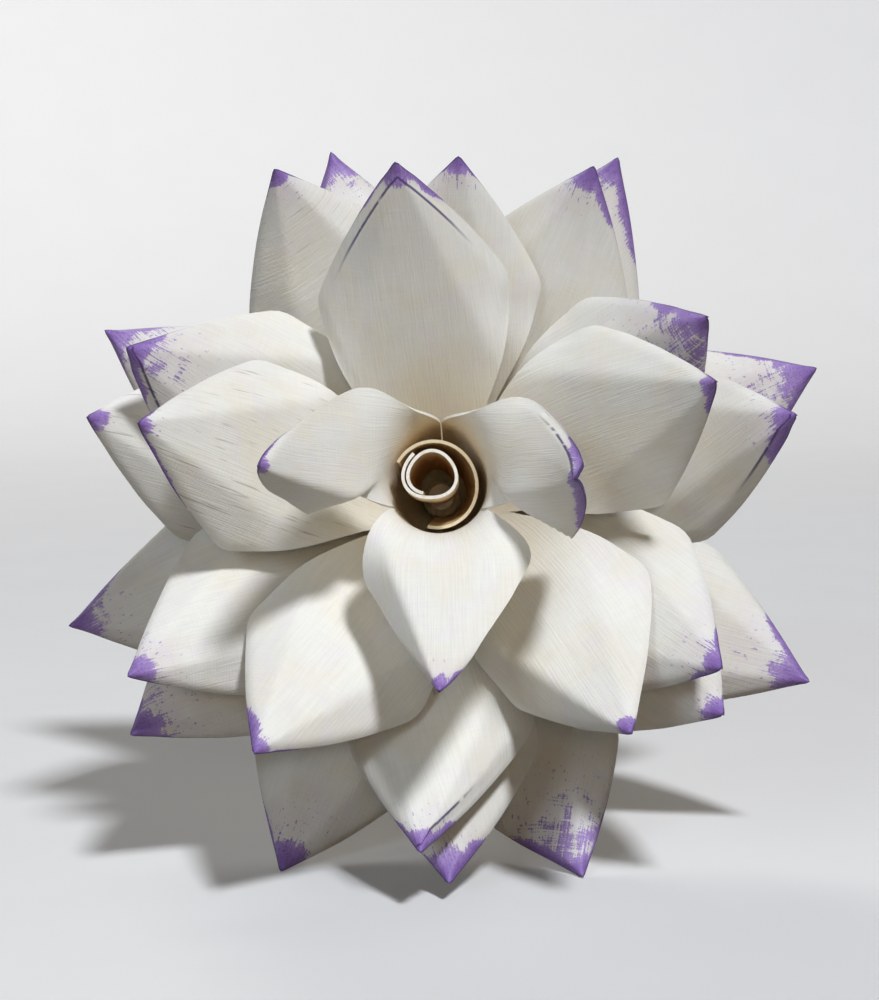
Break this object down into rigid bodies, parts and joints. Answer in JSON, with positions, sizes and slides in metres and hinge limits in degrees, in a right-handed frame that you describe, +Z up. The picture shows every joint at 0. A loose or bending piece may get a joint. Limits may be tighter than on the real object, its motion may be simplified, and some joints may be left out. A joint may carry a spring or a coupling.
{
  "type": "paper flower",
  "caption": "Hand-made paper flower lying on its side: pointed, creased petals in nested layers round a rolled paper centre, on a straight taped wire stem.",
  "frame": {"origin": "centre of the bottom of the bounding box, on the surface the flower lies on", "axes": "+Z up, +Y along the ground from the flower's face towards the stem's cut end, +X to the right when facing the flower along +Y"},
  "size_m": [0.0922, 0.2036, 0.0848],
  "materials": {
    "painted_paper": "ivory white paint brushed by hand on paper, dry-brushed purple at the tips and edges",
    "rolled_paper": "thinly painted warm white paper, bare and tan inside the roll",
    "wire": "cut steel wire",
    "floral_tape": "dark green waxed crepe tape wound in a spiral",
    "hot_glue": "cloudy set hot glue"
  },
  "bodies": {
    "root": {"eight_petal_sheet": "painted_paper", "seven_petal_sheet": "painted_paper", "six_petal_sheet": "painted_paper", "five_petal_sheet": "painted_paper", "three_petal_sheet": "painted_paper", "two_petal_wrap": "rolled_paper", "one_petal_roll": "rolled_paper", "stem_wire": "wire", "stem_tape": "floral_tape", "glue_behind_head": "hot_glue", "glue_under_seven_petal": "hot_glue", "glue_under_six_petal": "hot_glue", "glue_under_five_petal": "hot_glue", "glue_under_three_petal": "hot_glue", "glue_in_centre": "hot_glue"}
  },
  "joints": []
}
